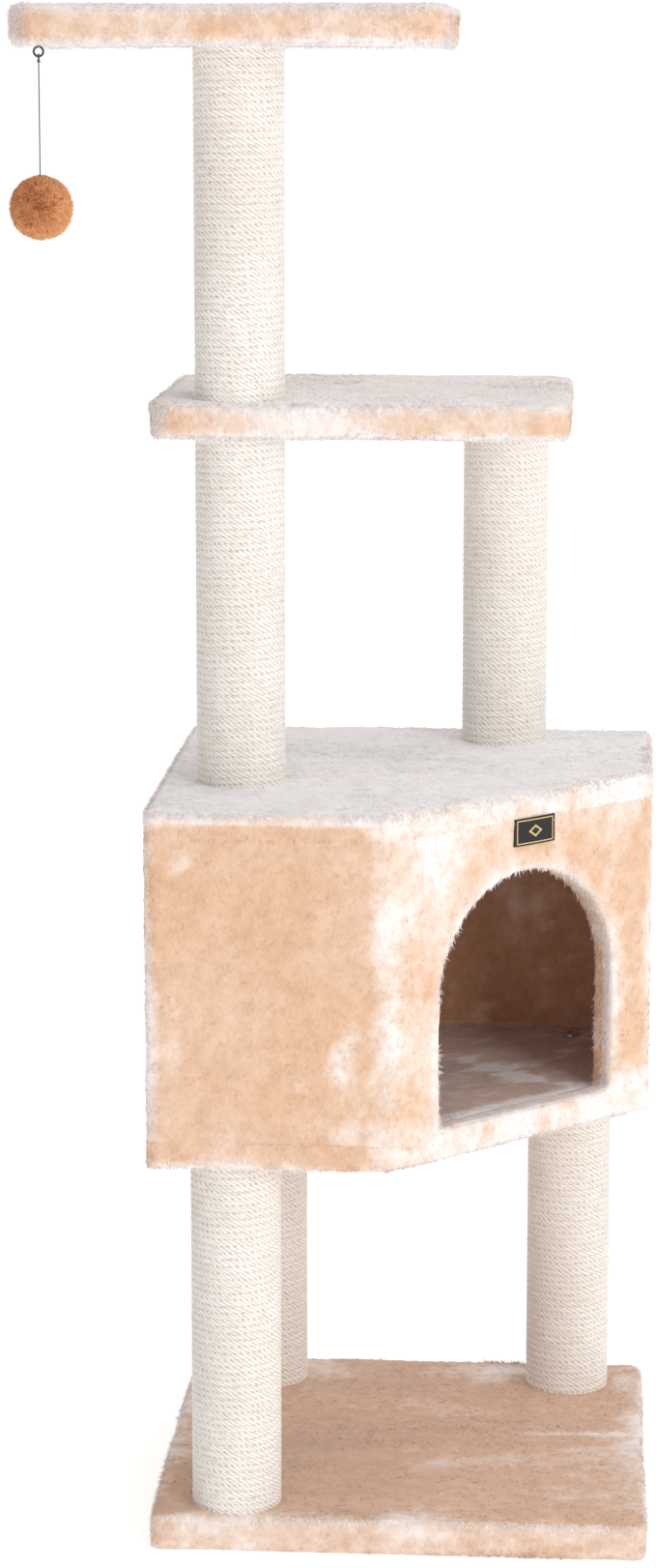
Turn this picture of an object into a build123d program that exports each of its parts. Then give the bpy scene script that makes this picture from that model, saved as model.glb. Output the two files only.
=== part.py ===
from build123d import *
import os
from math import sqrt

# Cat tree: a square base, three posts, a five-sided condo with an arched doorway across its cut
# corner, two more posts, a middle platform, one tall post, a top platform and a hanging pom-pom.
# Millimetres. +Z is up, the front faces -Y, and the origin is on the floor under the base's middle.

# --- Driving dimensions -------------------------------------------------------------------
PILE = 7.0            # plush cover: backing cloth and standing pile
PRESSED = 2.0         # plush squashed flat under a post or a washer
UNDER_PILE = 4.0      # plush folded under the base and flattened by the weight
INNER_PILE = 4.0      # short plush inside the condo

BASE_WIDTH, BASE_DEPTH = 398.0, 394.0
BASE_BOARD = 19.0     # thick particleboard for the base
STAPLE_INSET = 38.0   # from the base's edge to its rows of staples
PLATFORM_BOARD = 15.0
PANEL = 12.0          # condo panels

POST_RADIUS = 36.5    # over the rope
ROPE = 6.0            # sisal rope's thickness
TUBE_WALL = 3.0       # cardboard tube
PLUG = 22.0           # wooden plug in each end of a tube

BASE_TOP = UNDER_PILE + BASE_BOARD + PILE
CONDO_BOTTOM, CONDO_TOP = 321.0, 606.0
MID_BOTTOM, TOP_BOTTOM = 886.0, 1191.0
PLATFORM = PLATFORM_BOARD + 2 * PILE
MID_TOP = MID_BOTTOM + PLATFORM
TOP_TOP = TOP_BOTTOM + PLATFORM

CONDO_X = 199.0       # half the condo's width
CONDO_FRONT, CONDO_BACK = -207.0, 203.0
CUT = 205.0           # legs of the cut front right corner
DOOR_HALF = 95.0      # half the doorway's width, and the radius of its arch
DOOR_SPRING = 446.0   # height where the arch starts
DOOR_SHIFT = 5.0      # the doorway sits a little right of the cut wall's middle

MID_X0, MID_X1, MID_Y0, MID_Y1 = -204.0, 128.0, -106.0, 186.0
TOP_X0, TOP_X1, TOP_Y0, TOP_Y1 = -296.0, 34.0, -215.0, 85.0

LOWER_POSTS = {
    "lower_post_front_left": (-132.0, -158.0),
    "lower_post_back_left": (-132.0, 147.0),
    "lower_post_back_right": (134.0, 147.0),
}
MID_LEFT = (-134.0, -66.0)   # the top post stands on this one's line
MID_RIGHT = (74.0, 145.0)

BOLT_R = 4.0          # M8
BOLT_HOLE_R = 4.5
BOLT_HEAD_R, BOLT_HEAD = 7.0, 4.4
HEX_R, HEX_DEPTH = 2.9, 2.4
WASHER_R, WASHER = 12.0, 1.6
SINK_R = WASHER_R + 1.0
NUT_R, NUT = 6.0, 16.0
THREAD_GAP = 0.1
BOLT_GRIP = 14.0      # length of bolt inside a nut

EYE_X, EYE_Y, EYE_Z = -273.0, -200.0, 1185.5
EYE_RING_R, EYE_WIRE_R, EYE_SHANK_R = 3.6, 0.9, 1.2
EYE_BITE = 10.0       # how far the eye's shank goes into the board
LOOP_R, LOOP_WIRE_R, KNOT_R = 2.4, 0.5, 1.3
LOOP_DROP = 0.6       # between the middles of two wires or threads that pass through each other
CORD_R = 0.5
CORD_IN_POM = 6.0     # how deep the string goes into the fur
POM_R, POM_Z = 24.5, 1070.0
TOY_GAP = 0.1

TAG_WIDTH, TAG_HEIGHT, TAG_THICK = 45.0, 22.0, 1.4
TAG_Z = 575.0

# --- Levels worked out from them ------------------------------------------------------------
SEAT = PILE - PRESSED                      # how far a post sinks into a cover
FLOOR_Z0 = CONDO_BOTTOM + PILE             # condo floor board
FLOOR_Z1 = FLOOR_Z0 + PANEL
ROOF_Z1 = CONDO_TOP - PILE                 # condo roof board
ROOF_Z0 = ROOF_Z1 - PANEL
SILL = FLOOR_Z1 + INNER_PILE
LOOP_Z = EYE_Z - EYE_RING_R - LOOP_DROP    # the loop hangs round the eye's wire
KNOT_Z = LOOP_Z - LOOP_R - LOOP_DROP
CORD_TOP = KNOT_Z - KNOT_R - TOY_GAP
CORD_BOTTOM = POM_Z + POM_R - CORD_IN_POM


# --- Helpers --------------------------------------------------------------------------------
def block(x0, x1, y0, y1, z0, z1):
    """Box between six planes."""
    size = Box(x1 - x0, y1 - y0, z1 - z0)
    return Pos((x0 + x1) / 2, (y0 + y1) / 2, (z0 + z1) / 2) * size


def rod(radius, z0, z1, at=(0, 0)):
    """Upright cylinder."""
    return Pos(at[0], at[1], (z0 + z1) / 2) * Cylinder(radius, z1 - z0)


def ring(outer, inner, z0, z1, at=(0, 0)):
    """Upright tube."""
    return rod(outer, z0, z1, at) - rod(inner, z0 - 1, z1 + 1, at)


def soften(shape, corner, rim):
    """Round a slab's upright corners, then its top and bottom rims."""
    shape = fillet(shape.edges().filter_by(Axis.Z), corner)
    rims = shape.edges().group_by(Axis.Z)
    return fillet(rims[0] + rims[-1], rim)


def outline(inset):
    """The condo's five plan corners, moved in from the plush surface."""
    left, right = -CONDO_X + inset, CONDO_X - inset
    front, back = CONDO_FRONT + inset, CONDO_BACK - inset
    lean = CONDO_X - CUT - CONDO_FRONT - inset * sqrt(2)   # x - y along the cut wall
    return [(left, front), (front + lean, front), (right, right - lean), (right, back), (left, back)]


def prism(corners, z0, z1):
    """Upright prism on a plan polygon."""
    face = make_face(Polyline(*corners, close=True))
    return extrude(Pos(0, 0, z0) * face, amount=z1 - z0)


def door_plane():
    """Plane on the cut wall's plush surface, at the doorway's middle and height zero."""
    (x0, y0), (x1, y1) = outline(0)[1:3]
    along = Vector(x1 - x0, y1 - y0, 0).normalized()
    middle = Vector((x0 + x1) / 2, (y0 + y1) / 2, 0) + along * DOOR_SHIFT
    return Plane(origin=middle, x_dir=along, z_dir=(along.Y, -along.X, 0))


def arch(half, bottom, deep, out=5.0):
    """Arched doorway cutter, from just outside the cut wall to a depth inside it."""
    flat = Pos(0, (bottom + DOOR_SPRING) / 2) * Rectangle(2 * half, DOOR_SPRING - bottom)
    flat += Pos(0, DOOR_SPRING) * Circle(half)
    solid = extrude(door_plane().offset(out) * flat, amount=-(deep + out))
    return solid - block(-500, 500, -500, 500, 0, bottom)


def bolt(at, under_head, direction, length):
    """Button-head bolt: under_head is its seat, direction +1 has the head on top."""
    shank_end = under_head - direction * length
    head_end = under_head + direction * BOLT_HEAD
    socket_end = head_end - direction * HEX_DEPTH
    shank = rod(BOLT_R, *sorted((under_head, shank_end)), at)
    head = rod(BOLT_HEAD_R, *sorted((under_head, head_end)), at)
    face_edges = head.edges().sort_by(Axis.Z)
    head = fillet(face_edges[-1 if direction > 0 else 0], 1.8)
    low, high = sorted((socket_end, head_end + direction))
    socket = extrude(Pos(at[0], at[1], low) * RegularPolygon(HEX_R, 6), amount=high - low)
    return shank + head - socket


def washer(at, z0):
    """Wide flat washer."""
    return ring(WASHER_R, BOLT_R + THREAD_GAP, z0, z0 + WASHER, at)


# --- Posts ----------------------------------------------------------------------------------
def post(at, bottom, top):
    """Tube, rope sleeve, end plugs and insert nuts of a post between two plush surfaces."""
    z0, z1 = bottom - SEAT, top + SEAT
    tube_radius = POST_RADIUS - ROPE
    bore = tube_radius - TUBE_WALL
    rope = ring(POST_RADIUS, tube_radius, z0, z1, at)
    tube = ring(tube_radius, bore, z0, z1, at)
    plugs, nuts = [], []
    for end, inner in ((z0, z0 + PLUG), (z1, z1 - PLUG)):
        low, high = sorted((end, inner))
        nut_low, nut_high = sorted((end, end + NUT if end == z0 else end - NUT))
        plug = rod(bore, low, high, at) - rod(BOLT_HOLE_R, low - 1, high + 1, at)
        plugs.append(plug - rod(NUT_R, nut_low, nut_high, at))
        nuts.append(ring(NUT_R, BOLT_R + THREAD_GAP, nut_low, nut_high, at))
    return {"tube": tube, "rope": rope, "plugs": Compound(plugs)}, nuts


# --- Base -----------------------------------------------------------------------------------
BASE_SINK = 8.0       # depth of the pockets for the bolt heads under the base


def base_board():
    half_x, half_y = BASE_WIDTH / 2 - PILE, BASE_DEPTH / 2 - PILE
    low, high = UNDER_PILE, UNDER_PILE + BASE_BOARD
    board = block(-half_x, half_x, -half_y, half_y, low, high)
    board = fillet(board.edges().filter_by(Axis.Z), 8)
    for at in LOWER_POSTS.values():
        board -= rod(BOLT_HOLE_R, low - 1, high + 1, at)
        board -= rod(SINK_R, low, low + BASE_SINK, at)
    return board


def base_cover():
    half_x, half_y = BASE_WIDTH / 2, BASE_DEPTH / 2
    cover = soften(block(-half_x, half_x, -half_y, half_y, 0, BASE_TOP), 15, 3.5)
    inner_x, inner_y = half_x - PILE, half_y - PILE
    hollow = block(-inner_x, inner_x, -inner_y, inner_y, UNDER_PILE, UNDER_PILE + BASE_BOARD)
    cover -= fillet(hollow.edges().filter_by(Axis.Z), 8)
    for at in LOWER_POSTS.values():
        cover -= rod(POST_RADIUS, BASE_TOP - SEAT, BASE_TOP + 1, at)
        cover -= rod(BOLT_HOLE_R, UNDER_PILE + BASE_BOARD - 1, BASE_TOP, at)
        cover -= rod(SINK_R, -1, UNDER_PILE + 1, at)
    return cover


def base_fasteners():
    bolts, washers = [], []
    seat = UNDER_PILE + BASE_SINK
    for at in LOWER_POSTS.values():
        washers.append(washer(at, seat - WASHER))
        reach = BASE_TOP - SEAT + BOLT_GRIP - (seat - WASHER)
        bolts.append(bolt(at, seat - WASHER, -1, reach))
    return Compound(bolts), Compound(washers)


def staple(x, y, along_x):
    """One staple through the cover into the base board, crown down."""
    crown, wire, leg = 12.0, 1.0, 9.0
    low = UNDER_PILE - PRESSED - wire
    body = block(-crown / 2, crown / 2, -wire / 2, wire / 2, low, low + wire)
    for end in (-1, 1):
        side = end * (crown - wire) / 2
        body += block(side - wire / 2, side + wire / 2, -wire / 2, wire / 2, low, low + leg)
    return Pos(x, y, 0) * (body if along_x else Rot(0, 0, 90) * body)


def base_staples():
    line_x = BASE_WIDTH / 2 - STAPLE_INSET
    line_y = BASE_DEPTH / 2 - STAPLE_INSET
    steps = [-110, -50, 10, 70]
    staples = []
    for side in (-1, 1):
        staples += [staple(step, side * line_y, True) for step in steps]
        staples += [staple(side * line_x, step, False) for step in steps]
    return Compound(staples)


# --- Condo ----------------------------------------------------------------------------------
WALL_OUT, WALL_IN = PILE, PILE + PANEL     # insets of the panels' two faces
LINING_IN = WALL_IN + INNER_PILE


def screw_spots():
    """Two screws near the ends of each wall panel, on its middle line."""
    corners = outline((WALL_OUT + WALL_IN) / 2)
    spots = []
    for (x0, y0), (x1, y1) in zip(corners, corners[1:] + corners[:1]):
        for part in (0.07, 0.93):
            spots.append((x0 + (x1 - x0) * part, y0 + (y1 - y0) * part))
    return spots


SCREW_R, SCREW_LENGTH = 2.0, 40.0


def screw(at, head_z, direction):
    """Countersunk wood screw; direction +1 points up."""
    head = Cone(4.0, SCREW_R, 2.4) if direction > 0 else Cone(SCREW_R, 4.0, 2.4)
    shank_low, shank_high = sorted((head_z, head_z + direction * SCREW_LENGTH))
    body = rod(SCREW_R, shank_low, shank_high, at)
    return body + Pos(at[0], at[1], head_z + direction * 1.2) * head


def condo_screws():
    screws = [screw(at, FLOOR_Z0, 1) for at in screw_spots()]
    screws += [screw(at, ROOF_Z1, -1) for at in screw_spots()]
    return Compound(screws)


def condo_walls(screws):
    """Five panels standing between the floor board and the roof board."""
    outer, inner = outline(WALL_OUT), outline(WALL_IN)
    plans = {
        "condo_front_wall": [outer[0], outer[1], inner[1], (outer[0][0], inner[0][1])],
        "condo_door_wall": [outer[1], outer[2], inner[2], inner[1]],
        "condo_right_wall": [outer[2], outer[3], (inner[3][0], outer[3][1]), inner[2]],
        "condo_back_wall": [(inner[3][0], outer[3][1]), inner[3], (outer[4][0], inner[4][1]), outer[4]],
        "condo_left_wall": [
            (outer[4][0], inner[4][1]), inner[4], inner[0], (outer[0][0], inner[0][1])],
    }
    walls = {name: prism(plan, FLOOR_Z1, ROOF_Z0) for name, plan in plans.items()}
    walls["condo_door_wall"] -= arch(DOOR_HALF + PILE, FLOOR_Z1, 40)
    return {name: wall - screws for name, wall in walls.items()}


def condo_floor_board(screws):
    board = prism(outline(WALL_OUT), FLOOR_Z0, FLOOR_Z1)
    for at in LOWER_POSTS.values():
        board -= rod(BOLT_HOLE_R, FLOOR_Z0 - 1, FLOOR_Z1 + 1, at)
    return board - screws


def condo_roof_board(screws):
    board = prism(outline(WALL_OUT), ROOF_Z0, ROOF_Z1)
    for at in (MID_LEFT, MID_RIGHT):
        board -= rod(BOLT_HOLE_R, ROOF_Z0 - 1, ROOF_Z1 + 1, at)
    return board - screws


def condo_floor_cover():
    """Plush under the floor board and round its edges."""
    skin = prism(outline(0), CONDO_BOTTOM, FLOOR_Z1)
    skin = fillet(skin.edges().group_by(Axis.Z)[0], 4)
    skin -= prism(outline(WALL_OUT), FLOOR_Z0, FLOOR_Z1 + 1)
    for at in LOWER_POSTS.values():
        skin -= rod(POST_RADIUS, CONDO_BOTTOM - 1, CONDO_BOTTOM + SEAT, at)
        skin -= rod(BOLT_HOLE_R, CONDO_BOTTOM, FLOOR_Z0 + 1, at)
    return skin


def condo_roof_cover():
    """Plush over the roof board and round its edges."""
    skin = prism(outline(0), ROOF_Z0, CONDO_TOP)
    skin = fillet(skin.edges().group_by(Axis.Z)[-1], 4)
    skin -= prism(outline(WALL_OUT), ROOF_Z0 - 1, ROOF_Z1)
    for at in (MID_LEFT, MID_RIGHT):
        skin -= rod(POST_RADIUS, CONDO_TOP - SEAT, CONDO_TOP + 1, at)
        skin -= rod(BOLT_HOLE_R, ROOF_Z1 - 1, CONDO_TOP, at)
    return skin


def condo_wall_cover():
    """Plush round the outside of the walls, turned in through the doorway."""
    skin = prism(outline(0), FLOOR_Z1, ROOF_Z0) - prism(outline(WALL_OUT), FLOOR_Z1, ROOF_Z0)
    jamb = arch(DOOR_HALF + PILE, FLOOR_Z1, LINING_IN, 0)
    return (skin + jamb) - arch(DOOR_HALF, SILL, 60)


def condo_linings():
    """Short plush on the inside of the walls, on the floor and under the roof."""
    room = prism(outline(WALL_IN), FLOOR_Z1, ROOF_Z0)
    space = prism(outline(LINING_IN), FLOOR_Z1, ROOF_Z0)
    walls = room - space - arch(DOOR_HALF + PILE, FLOOR_Z1, 60)
    floor = prism(outline(LINING_IN), FLOOR_Z1, SILL)
    ceiling = prism(outline(LINING_IN), ROOF_Z0 - INNER_PILE, ROOF_Z0)
    for at in LOWER_POSTS.values():
        floor -= rod(BOLT_HOLE_R, FLOOR_Z1 - 1, SILL + 1, at)
        floor -= rod(WASHER_R, FLOOR_Z1 + PRESSED, SILL + 1, at)
    for at in (MID_LEFT, MID_RIGHT):
        ceiling -= rod(BOLT_HOLE_R, ROOF_Z0 - INNER_PILE - 1, ROOF_Z0 + 1, at)
        ceiling -= rod(WASHER_R, ROOF_Z0 - INNER_PILE - 1, ROOF_Z0 - PRESSED, at)
    return walls, floor, ceiling


def condo_fasteners():
    """Bolts through the floor into the lower posts, and through the roof into the middle ones."""
    found = {"condo_floor_bolts": [], "condo_floor_washers": []}
    found.update({"condo_roof_bolts": [], "condo_roof_washers": []})
    low = FLOOR_Z1 + PRESSED
    for at in LOWER_POSTS.values():
        found["condo_floor_washers"].append(washer(at, low))
        reach = low + WASHER - (CONDO_BOTTOM + SEAT - BOLT_GRIP)
        found["condo_floor_bolts"].append(bolt(at, low + WASHER, 1, reach))
    high = ROOF_Z0 - PRESSED
    for at in (MID_LEFT, MID_RIGHT):
        found["condo_roof_washers"].append(washer(at, high - WASHER))
        reach = CONDO_TOP - SEAT + BOLT_GRIP - (high - WASHER)
        found["condo_roof_bolts"].append(bolt(at, high - WASHER, -1, reach))
    return {name: Compound(solids) for name, solids in found.items()}


def label_tag():
    """Blank woven tag over the doorway."""
    plate = Pos(4, TAG_Z, TAG_THICK / 2) * Box(TAG_WIDTH, TAG_HEIGHT, TAG_THICK)
    plate = fillet(plate.edges().filter_by(Axis.Z), 1.2)
    return door_plane() * plate


# --- Platforms ------------------------------------------------------------------------------
PLATFORM_SINK = 4.0   # depth of the pocket for a bolt head on top of a platform


def platform(x0, x1, y0, y1, bottom, below, above, sunk_bolts):
    """Board and plush cover, with posts below, posts above and bolts sunk in the top."""
    top = bottom + PLATFORM
    low, high = bottom + PILE, top - PILE
    board = block(x0 + PILE, x1 - PILE, y0 + PILE, y1 - PILE, low, high)
    board = fillet(board.edges().filter_by(Axis.Z), 18)
    cover = soften(block(x0, x1, y0, y1, bottom, top), 25, 6) - board
    for at in below:
        board -= rod(BOLT_HOLE_R, low - 1, high + 1, at)
        cover -= rod(POST_RADIUS, bottom - 1, bottom + SEAT, at)
        cover -= rod(BOLT_HOLE_R, bottom, top + 1, at)
    for at in above:
        cover -= rod(POST_RADIUS, top - SEAT, top + 1, at)
    for at in sunk_bolts:
        board -= rod(SINK_R, high - PLATFORM_SINK, high + 1, at)
        cover -= rod(SINK_R, high - PLATFORM_SINK, top + 1, at)
    return board, cover


def sunk_bolt(at, bottom):
    """Bolt and washer in a platform's top, into the post below."""
    seat = bottom + PLATFORM - PILE - PLATFORM_SINK
    reach = seat + WASHER - (bottom + SEAT - BOLT_GRIP)
    return bolt(at, seat + WASHER, 1, reach), washer(at, seat)


def mid_platform():
    board, cover = platform(MID_X0, MID_X1, MID_Y0, MID_Y1, MID_BOTTOM,
                            [MID_LEFT, MID_RIGHT], [MID_LEFT], [MID_RIGHT])
    stud = rod(BOLT_R, MID_BOTTOM + SEAT - BOLT_GRIP, MID_TOP - SEAT + BOLT_GRIP, MID_LEFT)
    screw_bolt, flat = sunk_bolt(MID_RIGHT, MID_BOTTOM)
    return {"mid_platform_board": board, "mid_platform_cover": cover, "mid_platform_stud": stud,
            "mid_platform_bolt": screw_bolt, "mid_platform_washer": flat}


def top_platform():
    board, cover = platform(TOP_X0, TOP_X1, TOP_Y0, TOP_Y1, TOP_BOTTOM, [MID_LEFT], [], [MID_LEFT])
    eye_hole = rod(EYE_SHANK_R + TOY_GAP / 2, TOP_BOTTOM - 1, TOP_BOTTOM + PILE + EYE_BITE, (EYE_X, EYE_Y))
    screw_bolt, flat = sunk_bolt(MID_LEFT, TOP_BOTTOM)
    return {"top_platform_board": board - eye_hole, "top_platform_cover": cover - eye_hole,
            "top_platform_bolt": screw_bolt, "top_platform_washer": flat}


# --- Hanging toy ----------------------------------------------------------------------------
def toy():
    """Screw eye, knotted loop through it, string and pom-pom, hanging straight down."""
    at = (EYE_X, EYE_Y)
    eye = Pos(EYE_X, EYE_Y, EYE_Z) * Rot(90, 0, 0) * Torus(EYE_RING_R, EYE_WIRE_R)
    eye += rod(EYE_SHANK_R, EYE_Z + EYE_RING_R, TOP_BOTTOM + PILE + EYE_BITE, at)
    loop = Pos(EYE_X, EYE_Y, LOOP_Z) * Rot(0, -90, 0) * Torus(LOOP_R, LOOP_WIRE_R)
    loop += Pos(EYE_X, EYE_Y, KNOT_Z) * Sphere(KNOT_R)
    cord = rod(CORD_R, CORD_BOTTOM, CORD_TOP, at)
    pompom = Pos(EYE_X, EYE_Y, POM_Z) * Sphere(POM_R)
    pompom -= rod(CORD_R + 3 * TOY_GAP, CORD_BOTTOM - 1, POM_Z + POM_R + 1, at)
    return {"toy_screw_eye": eye, "toy_loop": loop, "toy_cord": cord, "toy_pompom": pompom}


# --- Assembly -------------------------------------------------------------------------------
def build():
    staples = base_staples()
    nodes = {"base_board": base_board() - staples.solids()}
    nodes["base_cover"] = base_cover() - staples.solids()
    nodes["base_bolts"], nodes["base_washers"] = base_fasteners()
    nodes["base_staples"] = staples

    posts = {name: (at, BASE_TOP, CONDO_BOTTOM) for name, at in LOWER_POSTS.items()}
    posts["mid_post_left"] = (MID_LEFT, CONDO_TOP, MID_BOTTOM)
    posts["mid_post_right"] = (MID_RIGHT, CONDO_TOP, MID_BOTTOM)
    posts["top_post"] = (MID_LEFT, MID_TOP, TOP_BOTTOM)
    all_nuts = []
    for name, (at, bottom, top) in posts.items():
        pieces, nuts = post(at, bottom, top)
        nodes.update({name + "_" + piece: solid for piece, solid in pieces.items()})
        all_nuts += nuts
    nodes["post_insert_nuts"] = Compound(all_nuts)

    screws = condo_screws()
    nodes["condo_screws"] = screws
    nodes["condo_floor_board"] = condo_floor_board(screws.solids())
    nodes["condo_roof_board"] = condo_roof_board(screws.solids())
    nodes.update(condo_walls(screws.solids()))
    nodes["condo_floor_cover"] = condo_floor_cover()
    nodes["condo_roof_cover"] = condo_roof_cover()
    nodes["condo_wall_cover"] = condo_wall_cover()
    linings = ("condo_wall_lining", "condo_floor_lining", "condo_ceiling_lining")
    nodes.update(zip(linings, condo_linings()))
    nodes.update(condo_fasteners())
    nodes["label_tag"] = label_tag()

    nodes.update(mid_platform())
    nodes.update(top_platform())
    nodes.update(toy())
    return nodes


def main():
    os.makedirs("parts", exist_ok=True)
    for name, shape in build().items():
        shape.label = name
        export_step(shape, "parts/" + name + ".step")


main()
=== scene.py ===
# Looks for a cat tree: sisal rope, brushed plush, a pom-pom on a string and a tag, built round the
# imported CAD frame. Metres, +Z up, the front faces -Y, origin on the floor under the base's middle.
import bmesh
import bpy
import math
import numpy as np
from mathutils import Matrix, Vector


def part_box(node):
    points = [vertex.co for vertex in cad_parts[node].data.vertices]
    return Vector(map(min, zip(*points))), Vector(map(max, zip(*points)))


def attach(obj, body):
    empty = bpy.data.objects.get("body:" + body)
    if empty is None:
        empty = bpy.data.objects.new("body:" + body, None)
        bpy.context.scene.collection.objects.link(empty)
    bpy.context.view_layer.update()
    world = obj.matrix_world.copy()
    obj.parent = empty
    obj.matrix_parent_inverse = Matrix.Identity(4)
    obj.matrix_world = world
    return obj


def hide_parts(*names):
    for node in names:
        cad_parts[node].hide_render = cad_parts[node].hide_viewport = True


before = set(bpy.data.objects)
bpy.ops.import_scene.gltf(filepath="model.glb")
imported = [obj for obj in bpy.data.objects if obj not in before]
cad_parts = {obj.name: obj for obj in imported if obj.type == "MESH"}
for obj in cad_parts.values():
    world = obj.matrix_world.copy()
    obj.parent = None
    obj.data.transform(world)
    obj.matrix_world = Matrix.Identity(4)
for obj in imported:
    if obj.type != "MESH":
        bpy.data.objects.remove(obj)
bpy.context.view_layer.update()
MM = 0.001
WHITE = (1.0, 1.0, 1.0, 1.0)


def ends(node):
    """Lowest and highest corner of a CAD node, as numpy arrays."""
    low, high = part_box(node)
    return np.array(low), np.array(high)


def placed(name, data):
    """A new object in the scene."""
    made = bpy.data.objects.new(name, data)
    bpy.context.scene.collection.objects.link(made)
    return made


# --- Camera ---
CAMERA_AT = (0.1349, -3.1397, 1.172)
CAMERA_YAW, CAMERA_PITCH = 3.7, 10.44     # degrees to the left of +Y, and below level
CAMERA_LENS = 89.0


def make_camera():
    """A long lens from the front, a little above the tree's middle."""
    data = bpy.data.cameras.new("camera")
    data.lens = CAMERA_LENS
    data.sensor_width = 36.0
    camera = placed("camera", data)
    camera.location = CAMERA_AT
    camera.rotation_euler = (math.radians(90 - CAMERA_PITCH), 0, math.radians(CAMERA_YAW))
    data.clip_end = 100
    bpy.context.scene.camera = camera


make_camera()


# --- Numbers and meshes ---
def smooth_noise(points, size, seed):
    """Smooth random field, about -1 to 1, whose features are about size metres across."""
    scaled = points / size + 1000.0
    cell = np.floor(scaled).astype(np.int64)
    part = scaled - cell
    part = part * part * (3 - 2 * part)
    total = np.zeros(len(points))
    for corner in range(8):
        step = np.array([corner & 1, corner >> 1 & 1, corner >> 2 & 1])
        at = cell + step
        mixed = at[:, 0] * 374761393 + at[:, 1] * 668265263 + at[:, 2] * 2147483647 + seed * 1274126177
        mixed = (mixed ^ (mixed >> 13)) * 1274126177 & 0xFFFFFFFF
        mixed = mixed ^ (mixed >> 16)
        value = (mixed & 0xFFFF) / 32767.5 - 1
        total += value * np.prod(np.where(step, part, 1 - part), axis=1)
    return total


def noises(points, seed, *layers):
    """Sum of smooth noises, from (strength, size) pairs whose seeds follow each other."""
    return sum(strength * smooth_noise(points, size, seed + k) for k, (strength, size) in enumerate(layers))


def noise_vectors(points, size, seed):
    """Smooth random vectors, from three noises."""
    return np.stack([smooth_noise(points, size, seed + k) for k in range(3)], axis=1)


def vector_rows(items, key):
    """One vector property of every item, as rows."""
    values = np.empty(len(items) * 3, dtype=np.float32)
    items.foreach_get(key, values)
    return values.reshape(-1, 3)


def corner_points(mesh):
    """The point number at every corner of every face."""
    corners = np.empty(len(mesh.loops), dtype=np.int32)
    mesh.loops.foreach_get("vertex_index", corners)
    return corners


def new_mesh(name, points, sides, normals=None, smooth=True):
    """Mesh object from points and a list of (faces, corners) index arrays, one for each face size. The
    points' normals set how faces shade, except for a face that looks the other way, which keeps its own."""
    mesh = bpy.data.meshes.new(name)
    mesh.vertices.add(len(points))
    mesh.vertices.foreach_set("co", np.asarray(points, dtype=np.float32).ravel())
    corners = np.concatenate([faces.ravel() for faces in sides])
    counts = np.concatenate([np.full(len(faces), faces.shape[1]) for faces in sides])
    mesh.loops.add(len(corners))
    mesh.loops.foreach_set("vertex_index", corners.astype(np.int32))
    mesh.polygons.add(len(counts))
    starts = np.concatenate([[0], np.cumsum(counts)[:-1]])
    mesh.polygons.foreach_set("loop_start", starts.astype(np.int32))
    mesh.polygons.foreach_set("use_smooth", np.full(len(counts), smooth))
    mesh.update(calc_edges=True)
    if normals is not None:
        own = np.repeat(vector_rows(mesh.polygons, "normal"), counts, axis=0)
        shading = np.asarray(normals, dtype=np.float32)[corners]
        away = np.sum(shading * own, axis=1) < 0
        shading[away] = own[away]
        mesh.normals_split_custom_set(shading.tolist())
    return placed(name, mesh)


def unit(vectors):
    """Vectors scaled to length one."""
    return vectors / np.maximum(np.linalg.norm(vectors, axis=1, keepdims=True), 1e-9)


def ring_quads(rings, count):
    """Point numbers of a stack of rings, lowest first, and the faces between them."""
    index = np.arange(rings * count).reshape(rings, count)
    ahead = np.roll(index, -1, axis=1)
    return index, np.stack([index[:-1], ahead[:-1], ahead[1:], index[1:]], axis=-1).reshape(-1, 4)


def closed_rings(name, points, count, smooth=True, flip=False):
    """Closed mesh from a stack of rings of count points, with flat ends. flip turns its faces over, for
    rings that run down or inwards."""
    index, quads = ring_quads(len(points) // count, count)
    caps = [index[0][::-1], index[-1]]
    if flip:
        quads = np.roll(quads[:, ::-1], 1, axis=1)
        caps = [cap[::-1] for cap in caps]
    return new_mesh(name, points, [quads, *(cap[None, :] for cap in caps)], smooth=smooth)


def point_numbers(mesh, name, values):
    """Stores one number for each vertex, for the materials to read."""
    layer = mesh.attributes.new(name, "FLOAT", "POINT")
    layer.data.foreach_set("value", np.asarray(values, dtype=np.float32))


# --- The toy's string ---
def spline_points(points):
    """Points along the smooth NURBS line that has these control points."""
    curve = bpy.data.curves.new("route", "CURVE")
    curve.dimensions = "3D"
    spline = curve.splines.new("NURBS")
    spline.points.add(len(points) - 1)
    for point, at in zip(spline.points, points):
        point.co = (*at, 1)
    spline.order_u = 3
    spline.use_endpoint_u = True
    spline.resolution_u = 24
    route = placed("route", curve)
    mesh = bpy.data.meshes.new_from_object(route.evaluated_get(bpy.context.evaluated_depsgraph_get()))
    line = np.array([vert.co for vert in mesh.vertices])
    bpy.data.objects.remove(route)
    bpy.data.meshes.remove(mesh)
    return line


PLY_PITCH = 2.6 * MM      # one full turn of the string's two plies


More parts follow.
